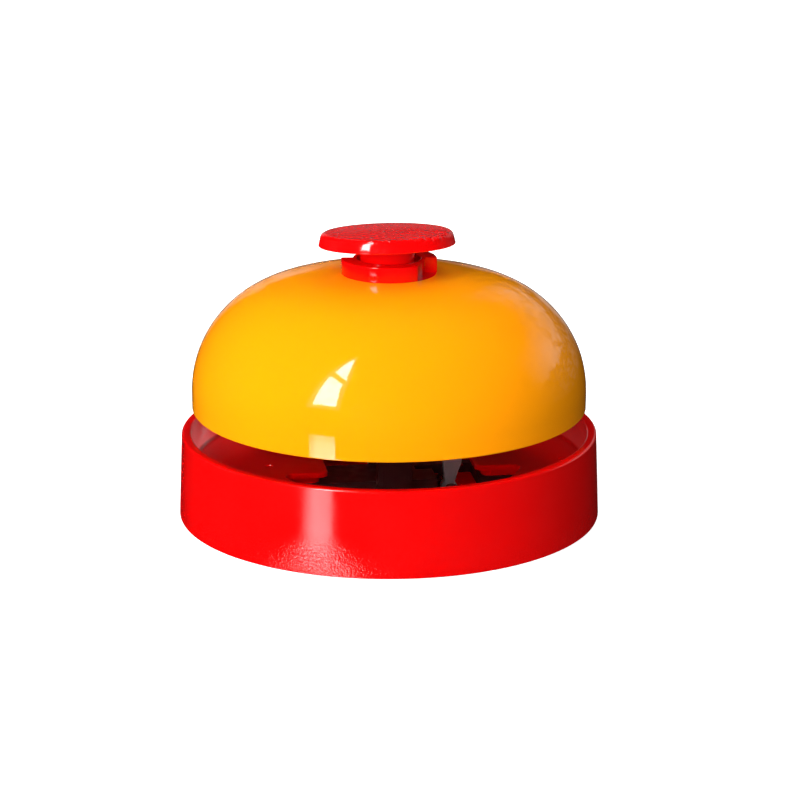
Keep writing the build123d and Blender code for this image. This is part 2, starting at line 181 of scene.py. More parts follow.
def arc(middle, radius, start, end, steps):
    """Points on an arc in the (radius, height) half plane, angles in degrees from +r towards +z."""
    points = []
    for i in range(steps + 1):
        angle = radians(start + (end - start) * i / steps)
        points.append((middle[0] + radius * cos(angle), middle[1] + radius * sin(angle)))
    return points


def rounded(points, radii, steps=5):
    """A closed outline with its corners rounded; radii gives one radius per corner."""
    result = []
    count = len(points)
    for i, (point, radius) in enumerate(zip(points, radii)):
        here = Vector(point)
        if radius == 0:
            result.append(tuple(here))
            continue
        before = (Vector(points[i - 1]) - here).normalized()
        after = (Vector(points[(i + 1) % count]) - here).normalized()
        half = before.angle(after) / 2
        middle = here + (before + after).normalized() * (radius / sin(half))
        first = here + before * (radius / tan(half)) - middle
        last = here + after * (radius / tan(half)) - middle
        for k in range(steps + 1):
            share = k / steps
            spoke = first.normalized().slerp(last.normalized(), share)
            result.append(tuple(middle + spoke * radius))
    return result


def mesh_object(name, bm, sharp=SHARP):
    """Turns a bmesh in millimetres into a smooth-shaded object in metres."""
    bmesh.ops.remove_doubles(bm, verts=bm.verts, dist=WELD)
    bmesh.ops.recalc_face_normals(bm, faces=bm.faces)
    bmesh.ops.scale(bm, verts=bm.verts, vec=(MM, MM, MM))
    mesh = bpy.data.meshes.new(name)
    bm.to_mesh(mesh)
    bm.free()
    piece = bpy.data.objects.new(name, mesh)
    bpy.context.scene.collection.objects.link(piece)
    mesh.polygons.foreach_set("use_smooth", [True] * len(mesh.polygons))
    mesh.set_sharp_from_angle(angle=radians(sharp))
    return piece


def turn_outline(bm, outline, segments=ROUND):
    """Adds the surface that a closed (radius, height) outline sweeps about Z."""
    rings = []
    for radius, height in outline:
        if radius < 1e-6:
            rings.append([bm.verts.new((0, 0, height))] * segments)
            continue
        ring = []
        for k in range(segments):
            angle = 2 * pi * k / segments
            ring.append(bm.verts.new((radius * cos(angle), radius * sin(angle), height)))
        rings.append(ring)
    for lower, upper in zip(rings, rings[1:] + rings[:1]):
        for k in range(segments):
            corners = [lower[k], lower[(k + 1) % segments], upper[(k + 1) % segments], upper[k]]
            unique = list(dict.fromkeys(corners))
            if len(unique) > 2:
                bm.faces.new(unique)


def lathe(name, outline, segments=ROUND):
    """A turned piece."""
    bm = bmesh.new()
    turn_outline(bm, outline, segments)
    return mesh_object(name, bm)


def prism(name, outline, levels):
    """A closed prism whose outline is drawn outwards by a given amount at each level (height, offset)."""
    count = len(outline)
    normals = []
    for i in range(count):
        along = Vector(outline[(i + 1) % count]) - Vector(outline[i - 1])
        normals.append(Vector((along.y, -along.x)).normalized())
    bm = bmesh.new()
    rings = []
    for height, offset in levels:
        ring = []
        for point, normal in zip(outline, normals):
            place = Vector(point) + normal * offset
            ring.append(bm.verts.new((place.x, place.y, height)))
        rings.append(ring)
    for lower, upper in zip(rings, rings[1:]):
        for i in range(count):
            j = (i + 1) % count
            bm.faces.new((lower[i], lower[j], upper[j], upper[i]))
    bm.faces.new(rings[0][::-1])
    bm.faces.new(rings[-1])
    return mesh_object(name, bm)


def cut(piece, *cutters):
    """Takes the cutters out of the piece and removes them."""
    for cutter in cutters:
        step = piece.modifiers.new("cut", "BOOLEAN")
        step.operation = "DIFFERENCE"
        step.solver = "EXACT"
        step.object = cutter
    settle(piece)
    for cutter in cutters:
        mesh = cutter.data
        bpy.data.objects.remove(cutter)
        bpy.data.meshes.remove(mesh)


def weigh(piece):
    """Lets the large faces decide the shading, so flat walls stay straight next to small roundings."""
    step = piece.modifiers.new("weigh", "WEIGHTED_NORMAL")
    step.mode = "FACE_AREA"
    step.weight = 90
    step.keep_sharp = True
    bpy.context.view_layer.update()
    graph = bpy.context.evaluated_depsgraph_get()
    mesh = bpy.data.meshes.new_from_object(piece.evaluated_get(graph), preserve_all_data_layers=True,
                                           depsgraph=graph)
    piece.modifiers.clear()
    piece.data = mesh


def settle(piece, sharp=SHARP):
    """Applies the piece's modifiers to its mesh."""
    bpy.context.view_layer.update()
    graph = bpy.context.evaluated_depsgraph_get()
    mesh = bpy.data.meshes.new_from_object(piece.evaluated_get(graph))
    piece.modifiers.clear()
    piece.data = mesh
    mesh.polygons.foreach_set("use_smooth", [True] * len(mesh.polygons))
    mesh.set_sharp_from_angle(angle=radians(sharp))


# ---------------------------------------------------------------- materials

def material(name):
    """A new node material with its Principled shader."""
    made = bpy.data.materials.new(name)
    made.use_nodes = True
    shader = made.node_tree.nodes["Principled BSDF"]
    return made, made.node_tree.nodes, made.node_tree.links, shader


def place(nodes, links, scale=1.0):
    """Object coordinates in millimetres, times scale."""
    coordinates = nodes.new("ShaderNodeTexCoord")
    mapping = nodes.new("ShaderNodeMapping")
    factor = scale / MM
    mapping.inputs["Scale"].default_value = (factor, factor, factor)
    links.new(coordinates.outputs["Object"], mapping.inputs["Vector"])
    return mapping.outputs["Vector"]


def noise(nodes, links, vector, size, detail=3.0, rough=0.5):
    """Noise whose blotches are about size millimetres across."""
    texture = nodes.new("ShaderNodeTexNoise")
    texture.inputs["Scale"].default_value = 1.0 / size
    texture.inputs["Detail"].default_value = detail
    texture.inputs["Roughness"].default_value = rough
    links.new(vector, texture.inputs["Vector"])
    return texture.outputs["Fac"]


def between(nodes, links, factor, low, high, start=0.3, end=0.7):
    """Maps a factor from start..end to low..high."""
    ramp = nodes.new("ShaderNodeMapRange")
    ramp.inputs["From Min"].default_value = start
    ramp.inputs["From Max"].default_value = end
    ramp.inputs["To Min"].default_value = low
    ramp.inputs["To Max"].default_value = high
    links.new(factor, ramp.inputs["Value"])
    return ramp.outputs["Result"]


def blend_colours(nodes, links, factor, first, second):
    """Mixes two colours by a factor."""
    mix = nodes.new("ShaderNodeMix")
    mix.data_type = "RGBA"
    mix.inputs["A"].default_value = (*first, 1)
    mix.inputs["B"].default_value = (*second, 1)
    links.new(factor, mix.inputs["Factor"])
    return mix.outputs["Result"]


def bump(nodes, links, height, distance, strength=1.0, previous=None):
    """A bump whose full height is distance millimetres."""
    step = nodes.new("ShaderNodeBump")
    step.inputs["Distance"].default_value = distance * MM
    step.inputs["Strength"].default_value = strength
    links.new(height, step.inputs["Height"])
    if previous is not None:
        links.new(previous, step.inputs["Normal"])
    return step.outputs["Normal"]


def combine(nodes, links, operation, first, second):
    """A Math node on two values, each a socket or a number."""
    step = nodes.new("ShaderNodeMath")
    step.operation = operation
    for value, socket in zip((first, second), step.inputs):
        if isinstance(value, float):
            socket.default_value = value
        else:
            links.new(value, socket)
    return step.outputs[0]


def product(nodes, links, *values):
    """Several values multiplied, from left to right."""
    result = values[0]
    for value in values[1:]:
        result = combine(nodes, links, "MULTIPLY", result, value)
    return result


def off_half(nodes, links, value):
    """How far a value lies from one half."""
    return combine(nodes, links, "ABSOLUTE", combine(nodes, links, "SUBTRACT", value, 0.5), 0.0)


def gloss_red(name, low=0.08, high=0.15, grain=False, dish=False, red=(0.74, 0.0008, 0.001)):
    """Glossy red moulded plastic; low and high bound its roughness."""
    made, nodes, links, shader = material(name)
    vector = place(nodes, links)
    blotches = noise(nodes, links, vector, 14.0)
    colour = blend_colours(nodes, links, blotches, red, tuple(0.92 * c for c in red))
    links.new(colour, shader.inputs["Base Color"])
    haze = noise(nodes, links, vector, 5.0, detail=6.0)
    links.new(between(nodes, links, haze, low, high), shader.inputs["Roughness"])
    shader.inputs["IOR"].default_value = 1.6
    flow = bump(nodes, links, noise(nodes, links, vector, 6.0, detail=1.0), 0.010)
    skin = bump(nodes, links, noise(nodes, links, vector, 0.5, detail=2.0), 0.0006, previous=flow)
    if dish:
        skin = foot_waves(nodes, links, vector, skin)
        lean, skin = leaned_wall_and_painted_glow(nodes, links, vector, skin)
        # painted glow: the wall inside the dish gives off red light of its own, stronger on its left side,
        # standing in for light that falls on it
        shader.inputs["Emission Color"].default_value = (1.0, 0.09, 0.09, 1)
        across = nodes.new("ShaderNodeSeparateXYZ")
        links.new(vector, across.inputs["Vector"])
        glow = between(nodes, links, across.outputs["X"], 0.50, 0.12, start=-25.0, end=25.0)
        links.new(product(nodes, links, lean, glow), shader.inputs["Emission Strength"])
    if grain:
        painted_hollow_shade, skin = button_grain(nodes, links, vector, skin)
        # painted shade: the hollows between the pebbles are coloured a darker red
        darker = nodes.new("ShaderNodeMix")
        darker.data_type = "RGBA"
        darker.inputs["B"].default_value = (0.80 * red[0], red[1], red[2], 1)
        links.new(colour, darker.inputs["A"])
        links.new(painted_hollow_shade, darker.inputs["Factor"])
        links.new(darker.outputs["Result"], shader.inputs["Base Color"])
    links.new(skin, shader.inputs["Normal"])
    return made


def from_axis(nodes, links, vector):
    """Distance from the Z axis and height, both in millimetres."""
    split = nodes.new("ShaderNodeSeparateXYZ")
    links.new(vector, split.inputs["Vector"])
    flat = nodes.new("ShaderNodeCombineXYZ")
    links.new(split.outputs["X"], flat.inputs["X"])
    links.new(split.outputs["Y"], flat.inputs["Y"])
    length = nodes.new("ShaderNodeVectorMath")
    length.operation = "LENGTH"
    links.new(flat.outputs["Vector"], length.inputs[0])
    return length.outputs["Value"], split.outputs["Z"]


def foot_waves(nodes, links, vector, skin):
    """Small moulding waves low on the dish, fading out upwards."""
    height = from_axis(nodes, links, vector)[1]
    low_down = between(nodes, links, height, 1.0, 0.0, start=1.0, end=6.5)
    waves = noise(nodes, links, vector, 0.32, detail=2.0, rough=0.6)
    return bump(nodes, links, product(nodes, links, low_down, waves), 0.10, previous=skin)


def leaned_wall_and_painted_glow(nodes, links, vector, skin):
    """Leans the shading of the wall inside the dish upwards; the wall's own shape stays straight.

    Gives the lean as well, which says where the wall's painted glow goes; that glow is red light of the
    wall's own, standing in for light that falls on it.
    """
    radius, height = from_axis(nodes, links, vector)
    outside_floor = between(nodes, links, radius, 0.0, 1.0, start=29.95, end=30.1)
    inside_rim = between(nodes, links, radius, 1.0, 0.0, start=30.5, end=30.7)
    over_floor = between(nodes, links, height, 0.0, 1.0, start=8.2, end=8.6)
    under_rim = between(nodes, links, height, 0.8, 0.25, start=9.0, end=12.9)
    lean = product(nodes, links, outside_floor, inside_rim, product(nodes, links, over_floor, under_rim))
    upwards = nodes.new("ShaderNodeCombineXYZ")
    links.new(lean, upwards.inputs["Z"])
    tilted = nodes.new("ShaderNodeVectorMath")
    tilted.operation = "ADD"
    links.new(skin, tilted.inputs[0])
    links.new(upwards.outputs["Vector"], tilted.inputs[1])
    level = nodes.new("ShaderNodeVectorMath")
    level.operation = "NORMALIZE"
    links.new(tilted.outputs["Vector"], level.inputs[0])
    return lean, level.outputs["Vector"]


def button_grain(nodes, links, vector, skin):
    """Fine leather-like pebbles on the button's top, fading towards its smooth rim, and the painted shade of
    their hollows.
    """
    pebble = 0.62        # millimetres across
    cells = nodes.new("ShaderNodeTexVoronoi")
    cells.feature = "SMOOTH_F1"
    cells.inputs["Scale"].default_value = 1 / pebble
    cells.inputs["Smoothness"].default_value = 0.4
    links.new(vector, cells.inputs["Vector"])
    radius, height = from_axis(nodes, links, vector)
    inside = between(nodes, links, radius, 1.0, 0.0, start=9.35, end=9.95)
    above = between(nodes, links, height, 0.0, 1.0, start=43.2, end=43.6)
    raised = product(nodes, links, inside, above, cells.outputs["Distance"])
    painted_hollow_shade = between(nodes, links, raised, 0.0, 0.8, start=0.35, end=0.75)
    return painted_hollow_shade, bump(nodes, links, raised, 0.42, previous=skin)


def yellow_enamel(name, inside=False):
    """Glossy yellow stoving enamel; duller inside the gong."""
    made, nodes, links, shader = material(name)
    vector = place(nodes, links)
    blotches = noise(nodes, links, vector, 11.0)
    colour = blend_colours(nodes, links, blotches, (0.95, 0.315, 0.002), (0.93, 0.295, 0.002))
    links.new(colour, shader.inputs["Base Color"])
    haze = noise(nodes, links, vector, 4.0, detail=5.0)
    low, high = (0.32, 0.5) if inside else (0.022, 0.05)
    links.new(between(nodes, links, haze, low, high), shader.inputs["Roughness"])
    shader.inputs["IOR"].default_value = 1.46
    peel = bump(nodes, links, noise(nodes, links, vector, 1.6, detail=4.0, rough=0.6), 0.0045)
    skin = bump(nodes, links, noise(nodes, links, vector, 9.0, detail=1.0), 0.008, previous=peel)
    links.new(skin, shader.inputs["Normal"])
    return made


def moulded_black(name):
    """Fine matt plastic, black with a little red in it."""
    made, nodes, links, shader = material(name)
    vector = place(nodes, links)
    blotches = noise(nodes, links, vector, 6.0)
    links.new(blend_colours(nodes, links, blotches, (0.026, 0.006, 0.006), (0.040, 0.008, 0.008)),
              shader.inputs["Base Color"])
    haze = noise(nodes, links, vector, 1.5)
    links.new(between(nodes, links, haze, 0.42, 0.6), shader.inputs["Roughness"])
    sparks = noise(nodes, links, vector, 0.18, detail=2.0)
    links.new(bump(nodes, links, sparks, 0.012), shader.inputs["Normal"])
    return made


def metal(name, first, second, low, high, stretch=(1.0, 1.0, 1.0), scratch=0.003, metallic=1.0):
    """A metal with drawn or turned marks: stretch squeezes the noise across the marks."""
    made, nodes, links, shader = material(name)
    shader.inputs["Metallic"].default_value = metallic
    coordinates = nodes.new("ShaderNodeTexCoord")
    mapping = nodes.new("ShaderNodeMapping")
    mapping.inputs["Scale"].default_value = tuple(s / MM for s in stretch)
    links.new(coordinates.outputs["Object"], mapping.inputs["Vector"])
    marks = noise(nodes, links, mapping.outputs["Vector"], 0.6, detail=5.0, rough=0.65)
    links.new(blend_colours(nodes, links, marks, first, second), shader.inputs["Base Color"])
    links.new(between(nodes, links, marks, low, high), shader.inputs["Roughness"])
    links.new(bump(nodes, links, marks, scratch), shader.inputs["Normal"])
    return made


def soft_rubber(name):
    """Dull dark rubber."""
    made, nodes, links, shader = material(name)
    vector = place(nodes, links)
    speckle = noise(nodes, links, vector, 0.8, detail=4.0)
    links.new(blend_colours(nodes, links, speckle, (0.020, 0.020, 0.021), (0.040, 0.039, 0.038)),
              shader.inputs["Base Color"])
    links.new(between(nodes, links, speckle, 0.7, 0.9), shader.inputs["Roughness"])
    links.new(bump(nodes, links, noise(nodes, links, vector, 0.25), 0.02), shader.inputs["Normal"])
    return made


# ---------------------------------------------------------------- pieces that stand for CAD nodes

def dome_curve(offset):
    """The dome's outline from the hole to the wall, drawn inwards by offset."""
    crown_middle = (crown_flat, dome_top_z - crown_radius)
    shoulder_middle = (dome_radius - shoulder_radius, dome_wall_top)
    rise = shoulder_middle[1] - crown_middle[1]
    join = degrees(atan2(rise, shoulder_middle[0] - crown_middle[0]))
    crown = arc(crown_middle, crown_radius - offset, 90, join, 20)
    shoulder = arc(shoulder_middle, shoulder_radius - offset, join, 0, 48)
    return crown + shoulder[1:]


def make_dome():
    """Spun gong: painted outside, a rounded free edge and a duller inside."""
    round_edge = dome_thickness * 0.3
    outer = dome_curve(0)
    inner = dome_curve(dome_thickness)
    outer_foot = (dome_radius - round_edge, dome_edge_z + round_edge)
    inner_foot = (dome_radius - dome_thickness + round_edge, dome_edge_z + round_edge)
    outline = [(dome_hole + dome_hole_chamfer, dome_top_z)] + outer
    outline += arc(outer_foot, round_edge, 0, -90, 6)
    outline += arc(inner_foot, round_edge, -90, -180, 6)
    outline += inner[::-1]
    outline += [(dome_hole, dome_top_z - dome_thickness), (dome_hole, dome_top_z - dome_hole_chamfer)]
    piece = lathe("gong", outline)
    piece.data.materials.append(yellow_enamel("yellow_enamel"))
    piece.data.materials.append(yellow_enamel("yellow_enamel_inside", inside=True))
    for face in piece.data.polygons:
        out = Vector((face.center.x, face.center.y)).dot(Vector((face.normal.x, face.normal.y)))
        facing_down = face.normal.z < -0.2
        over_edge = face.center.z > (dome_edge_z + 1) * MM
        inside = out < -1e-6 or (facing_down and over_edge)
        face.material_index = 1 if inside else 0
    weigh(piece)
    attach(piece, "bell")
    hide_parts("dome")
    return piece


def opening_outline(offset):
    """Round opening with two tongues reaching in, drawn outwards by offset.

    It is turned into the striker's plane.
    """
    half = tongue_half_width - offset
    left, right = tongue_tips[0] - offset, tongue_tips[1] + offset
    reach = opening_radius + offset
    root = sqrt(reach ** 2 - half ** 2)
    root_angle = degrees(atan2(half, root))
    lead = 6.0
    points = []
    radii = []

    def corner(x, y, radius):
        points.append((x, y))
        radii.append(radius)

    def sweep(start, end):
        for x, y in arc((opening_shift, 0), reach, start, end, 44):
            corner(x, y, 0)

    corner(right, -half, tongue_corner)
    corner(right, half, tongue_corner)
    corner(opening_shift + root, half, opening_corner)
    sweep(root_angle + lead, 180 - root_angle - lead)
    corner(opening_shift - root, half, opening_corner)
    corner(left, half, tongue_corner)
    corner(left, -half, tongue_corner)
    corner(opening_shift - root, -half, opening_corner)
    sweep(180 + root_angle + lead, 360 - root_angle - lead)
    corner(opening_shift + root, -half, opening_corner)
    outline = rounded(points, radii, steps=7)
    turn = Matrix.Rotation(radians(striker_turn), 2)
    return [tuple(turn @ Vector(p)) for p in outline]


def flare(top, radius, steps=5):
    """Levels that round an edge outwards just under a height."""
    levels = []
    for k in range(steps + 1):
        angle = radians(90 * k / steps)
        levels.append((top - radius + radius * sin(angle), radius * (1 - cos(angle))))
    return levels


def make_base_cup():
    """Dish with a rolled rim, a sunken floor, its opening and faint ejector marks."""
    rim_inner = rim_outer_radius - rim_width
    under = floor_z - floor_thickness
    corners = [
        (0, floor_z),
        (0, under),
        (skirt_inner_radius, under),
        (skirt_inner_radius, cup_low.z),
        (cup_radius, cup_low.z),
        (rim_outer_radius, rim_z),
        (rim_inner, rim_z),
        (floor_wall_radius, floor_z),
    ]
    radii = [0, 0, 0.4, 0.25, heel_round, rim_round, rim_round, floor_corner]
    outline = rounded(corners, radii, steps=6)
    piece = lathe("dish", outline)
    levels = [(under - 1, 0)] + flare(floor_z, opening_edge_round) + [(floor_z + 1, opening_edge_round)]
    cutters = [prism("opening_cutter", opening_outline(0), levels)]
    rebate_top = floor_z - lip_thickness
    cutters.append(prism("rebate_cutter", opening_outline(lip_width), [(under - 1, 0), (rebate_top, 0)]))
    for middle in ejector_marks:
        ring = arc(middle, ejector_radius, 0, 360, 32)[:-1]
        dimple = [(floor_z - ejector_depth, 0), (floor_z, ejector_draft), (floor_z + 1, ejector_draft)]
        cutters.append(prism("ejector_cutter", ring, dimple))
    cut(piece, *cutters)
    piece.data.materials.clear()
    piece.data.materials.append(gloss_red("gloss_red_dish", 0.11, 0.16, dish=True))
    weigh(piece)
    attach(piece, "bell")
    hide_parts("base_cup")
    return piece


def make_collar():
    """Collar: a sleeve with two lugs outside the dome, a neck and a socket inside it."""
    corners = [
        (rod_hole, neck_floor_top),
        (collar_bore, neck_floor_top),
        (collar_bore, collar_top),
        (collar_radius, collar_top),
        (collar_radius, dome_top_z),
        (neck_radius, dome_top_z),
        (neck_radius, neck_floor_top - neck_floor_thickness),
        (socket_radius, neck_floor_top - neck_floor_thickness),
        (socket_radius, socket_bottom),
        (post_radius, socket_bottom),
        (post_radius, post_top),
        (rod_hole, post_top),
    ]
    radii = [0, 0, 0.15, 0.15, 0.12, 0, 0.3, 0, 0.3, 0.2, 0, 0]
    piece = lathe("collar", rounded(corners, radii, steps=5))
    cutters = []
    for middle in slot_middles:
        start, end = middle - slot_angle / 2, middle + slot_angle / 2
        slice_outline = arc((0, 0), collar_radius + 2, start, end, 16)
        slice_outline += arc((0, 0), sleeve_radius, end, start, 48)
        cutters.append(prism("slot_cutter", slice_outline, [(dome_top_z + 0.001, 0), (collar_top + 2, 0)]))
    cut(piece, *cutters)
    edges = piece.modifiers.new("edges", "BEVEL")
    edges.width = collar_bevel * MM
    edges.segments = 3
    edges.limit_method = "ANGLE"
    edges.angle_limit = radians(50)
    edges.harden_normals = False
    settle(piece)
    piece.data.materials.clear()
    piece.data.materials.append(gloss_red("gloss_red_collar"))
    weigh(piece)
    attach(piece, "bell")
    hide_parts("top_collar")
    return piece


def make_button():
    """Mushroom button: drafted side, grained crowned top, hollow stem and a boss for the rod."""
    top_edge_radius = button_radius - button_draft
    top_edge_z = button_edge_z + button_side
    crown_z = top_edge_z + button_crown
    crown_sphere = (top_edge_radius ** 2 + button_crown ** 2) / (2 * button_crown)
    crown_start = degrees(atan2(crown_sphere - button_crown, top_edge_radius))
    crown = arc((0, crown_z - crown_sphere), crown_sphere, 90, crown_start, 24)
    roof = crown_z - button_roof
    corners = [*crown[:-1], (top_edge_radius, top_edge_z), (button_radius, button_edge_z)]
    radii = [0] * (len(crown) - 1) + [button_corner, 0.15]
    corners += [
        (button_radius - button_rim, button_edge_z),
        (button_radius - button_rim, button_edge_z + button_recess),
        (stem_radius, button_edge_z + button_recess),
        (stem_radius, stem_bottom),
        (stem_bore, stem_bottom),
        (stem_bore, roof),
        (boss_radius, roof),
        (boss_radius, boss_bottom),
        (boss_bore, boss_bottom),
        (boss_bore, roof),
        (0, roof),
    ]
    radii += [0.25, 0.2, 0.35, 0.2, 0.1, 0, 0, 0.1, 0.1, 0, 0]
    piece = lathe("button", rounded(corners, radii, steps=6))
    lean_back = Matrix.Rotation(radians(-button_lean_back), 4, "X")
    lean_left = Matrix.Rotation(radians(-button_lean_left), 4, "Y")
    pivot = Matrix.Translation((0, 0, button_pivot_z * MM))
    shift = Matrix.Translation((button_shift * MM, 0, 0))
    piece.data.transform(shift @ pivot @ (lean_back @ lean_left) @ pivot.inverted())
    finish = gloss_red("gloss_red_button", 0.06, 0.11, grain=True, red=(0.96, 0.0015, 0.002))
    piece.data.materials.append(finish)
    weigh(piece)
    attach(piece, "button")
    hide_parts("push_button")
    return piece


def make_spring(wire_finish):
    """Return spring: a round wire wound between its washer and the button.
    """
    bottom = spring_low.z + spring_wire
    rise = spring_high.z - spring_wire - bottom
    steps = spring_turns * spring_steps
    slope = atan2(rise / spring_turns, 2 * pi * spring_radius)
    bm = bmesh.new()
    rings = []
    for i in range(steps + 1):
        turn = 2 * pi * spring_turns * i / steps
        out = Vector((cos(turn), sin(turn), 0))
        along = Vector((-sin(turn) * cos(slope), cos(turn) * cos(slope), sin(slope)))
        middle = out * spring_radius + Vector((0, 0, bottom + rise * i / steps))
        ring = []
        for k in range(spring_sides):
            angle = 2 * pi * k / spring_sides
            offset = out * cos(angle) + along.cross(out) * sin(angle)
            ring.append(bm.verts.new(middle + offset * spring_wire))
        rings.append(ring)
    for lower, upper in zip(rings, rings[1:]):
        for k in range(spring_sides):
            j = (k + 1) % spring_sides
            bm.faces.new((lower[k], lower[j], upper[j], upper[k]))
    bm.faces.new(rings[0][::-1])
    bm.faces.new(rings[-1])
    piece = mesh_object("button_spring", bm)
    piece.data.materials.append(wire_finish)
    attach(piece, "bell")
    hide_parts("return_spring")
    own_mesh(piece)
    return piece


def dress_cad_nodes(wire):
    """Procedural finishes for the CAD nodes that stay."""
    zinc = metal("zinc_plated_steel", (0.56, 0.57, 0.60), (0.66, 0.66, 0.66), 0.28, 0.45, (1.0, 1.0, 0.15),
                 metallic=0.7)
    brass = metal("turned_brass", (0.72, 0.48, 0.16), (0.80, 0.57, 0.22), 0.16, 0.30, (0.2, 0.2, 1.6))
    black = moulded_black("matt_black")
    rubber = soft_rubber("foot_rubber")
    red = gloss_red("gloss_red_cover", 0.18, 0.28)
    finishes = {"zinc_steel": zinc, "spring_steel": wire, "brass": brass, "black_plastic": black,
                "rubber": rubber, "red_plastic": red}
    slots = {part["node"]: part["material_slot"] for part in frame["record"]["subparts"]}
    for name, node in frame["nodes"].items():
        finish = finishes.get(slots[name])
        if finish is None:
            continue
        node.data.materials.clear()
        node.data.materials.append(finish)


# ---------------------------------------------------------------- stage, light and camera

def direction(azimuth, elevation):
    """Unit vector; azimuth 0 points at the user, positive to the right."""
    a, e = radians(azimuth), radians(elevation)
    return Vector((sin(a) * cos(e), -cos(a) * cos(e), sin(e)))


def make_floor():
    """Large plain white table top, unseen by gloss and by the shading's bounces."""
    half_side = 4000
    bm = bmesh.new()
    bmesh.ops.create_grid(bm, x_segments=1, y_segments=1, size=half_side)
    floor = mesh_object("floor", bm)
    made, nodes, links, shader = material("white_table")
    vector = place(nodes, links)
    cloud = noise(nodes, links, vector, 300.0)
    white = blend_colours(nodes, links, cloud, (0.90, 0.90, 0.90), (0.92, 0.92, 0.92))
    links.new(white, shader.inputs["Base Color"])
    shader.inputs["Roughness"].default_value = 0.6
    shader.inputs["Emission Color"].default_value = (1, 1, 1, 1)
    shader.inputs["Emission Strength"].default_value = 0.8
    floor.data.materials.append(made)
    floor.visible_glossy = False
    floor.visible_diffuse = False
    return floor


def window_pane(name, corners, strength, distance=PANE_DISTANCE, mirrored=False):
    """A bright pane given by the directions of its corners as seen from the dome's highlight.

    A mirrored pane lies under the table, as the window's image in it, and only gloss sees it.
    """
    eye = Vector((-8, -27, 28)) * MM
    bm = bmesh.new()
    points = [(eye + direction(a, e) * distance) / MM for a, e in corners]
    if mirrored:
        points = [Vector((p.x, p.y, -p.z)) for p in points]
    bm.faces.new([bm.verts.new(p) for p in points])
    pane = mesh_object(name, bm)
    made = bpy.data.materials.new(name)
    made.use_nodes = True
    nodes = made.node_tree.nodes
    nodes.clear()
    links = made.node_tree.links
    glow = nodes.new("ShaderNodeEmission")
    glow.inputs["Color"].default_value = (1.0, 0.95, 0.97, 1)
    dirt = noise(nodes, links, place(nodes, links), 160.0, detail=3.0)
    light = between(nodes, links, dirt, 0.75 * strength, 1.15 * strength)
    if mirrored:
        coordinates = nodes.new("ShaderNodeTexCoord")
        split = nodes.new("ShaderNodeSeparateXYZ")
        links.new(coordinates.outputs["Generated"], split.inputs["Vector"])
        off_middle = off_half(nodes, links, split.outputs["X"])
        soft_sides = between(nodes, links, off_middle, 1.0, 0.0, start=0.25, end=0.5)
        dimmer_end = between(nodes, links, split.outputs["Z"], 1.0, 0.34, start=0.74, end=0.88)
        light = product(nodes, links, light, soft_sides, dimmer_end)
    links.new(light, glow.inputs["Strength"])
    output = nodes.new("ShaderNodeOutputMaterial")
    links.new(glow.outputs["Emission"], output.inputs["Surface"])
    pane.data.materials.append(made)
    if mirrored:
        pane.visible_diffuse = False
        pane.visible_camera = False
        pane.visible_shadow = False


def soft_light(name, azimuth, elevation, distance, size, power):
    """A square area light aimed at the bell, not seen in the gloss."""
    data = bpy.data.lights.new(name, "AREA")
    data.shape = "SQUARE"
    data.size = size
    data.energy = power
    light = bpy.data.objects.new(name, data)
    light.location = direction(azimuth, elevation) * distance
    light.rotation_euler = (-light.location).to_track_quat("-Z", "Y").to_euler()
    light.visible_glossy = False
    bpy.context.scene.collection.objects.link(light)


def room_noise(nodes, links, vector, scale, detail, rough=0.5, distortion=0.0):
    """Noise over the directions of the room."""
    texture = nodes.new("ShaderNodeTexNoise")
    texture.inputs["Scale"].default_value = scale
    texture.inputs["Detail"].default_value = detail
    texture.inputs["Roughness"].default_value = rough
    texture.inputs["Distortion"].default_value = distortion
    links.new(vector, texture.inputs["Vector"])
    return texture.outputs["Fac"]


